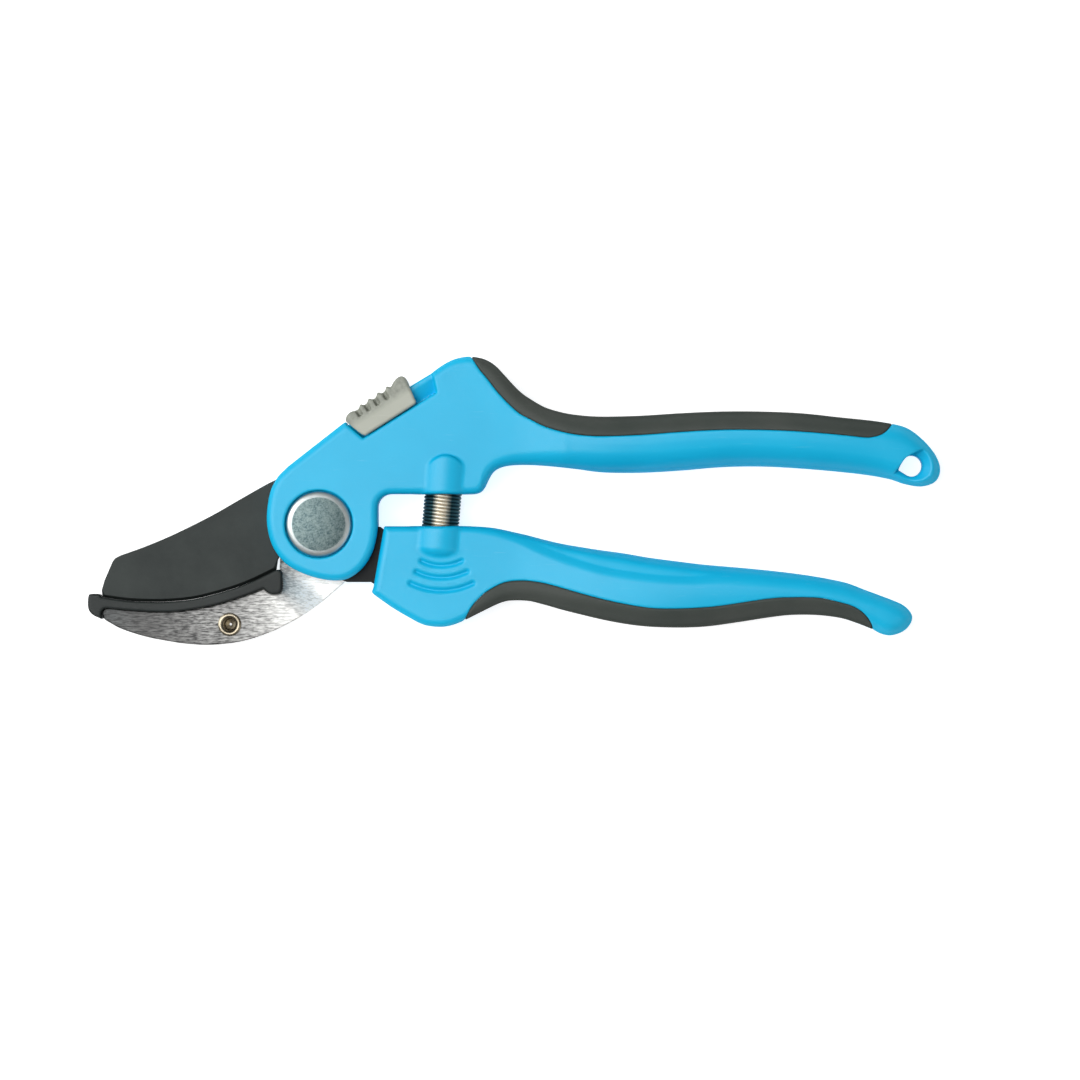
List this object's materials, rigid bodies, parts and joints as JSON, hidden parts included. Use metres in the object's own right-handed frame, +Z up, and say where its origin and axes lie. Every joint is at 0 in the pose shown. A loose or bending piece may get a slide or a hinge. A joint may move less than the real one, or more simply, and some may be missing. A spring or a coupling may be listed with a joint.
{
  "type": "anvil pruning shears",
  "caption": "Anvil pruning shears: a straight coated blade closes on a plastic anvil, with a coil return spring, a sliding lock and soft-grip handles.",
  "frame": {"origin": "centre of the closed tool's footprint, on the surface it lies on", "axes": "+X from the jaws towards the handle ends; +Y across the tool, from the lower handle to the upper one; +Z up out of the face that carries the bolt head, along the pivot"},
  "size_m": [0.2044, 0.0692, 0.017],
  "materials": {
    "handle_blue": "fine moulded nylon, satin",
    "grip_rubber": "soft moulded rubber, matt",
    "anvil_steel": "brushed along the jaw",
    "anvil_nylon": "black moulded nylon",
    "rivet_brass": "pressed, slightly dull",
    "bolt_zinc": "zinc plated, mottled",
    "inner_steel": "plain stamped steel",
    "spring_steel": "bright plated wire",
    "blade_coating": "dark low-friction coating, matt",
    "lock_grey": "warm grey acetal"
  },
  "bodies": {
    "upper": {"upper_handle": "handle_blue", "upper_grip": "grip_rubber", "anvil_plate": "anvil_steel", "anvil_insert": "anvil_nylon", "anvil_rivet": "rivet_brass", "stop_pin": "inner_steel", "pivot_bolt": "bolt_zinc", "pivot_nut": "bolt_zinc", "nut_washer": "bolt_zinc", "wave_washer": "spring_steel", "front_washer": "inner_steel", "back_washer": "inner_steel", "spring": "spring_steel"},
    "lever": {"blade": "blade_coating", "pivot_bush": "rivet_brass", "lower_handle": "handle_blue", "lower_grip": "grip_rubber"},
    "lock": {"lock_button": "lock_grey", "lock_plate": "inner_steel", "detent_spring": "spring_steel"}
  },
  "joints": [
    {"name": "handle_opening", "type": "hinge", "parent": "upper", "child": "lever", "pos_m": [-0.0468, -0.00562, 0.0085], "axis": [0, 0, -1], "range_deg": [0, 26], "stiffness_Nm_per_rad": 0.2, "springref_deg": 42.97, "deforming": ["spring"]},
    {"name": "lock_slide", "type": "slide", "parent": "upper", "child": "lock", "axis": [0.848, 0.5299, 0], "range_m": [-0.001, 0.005]}
  ]
}
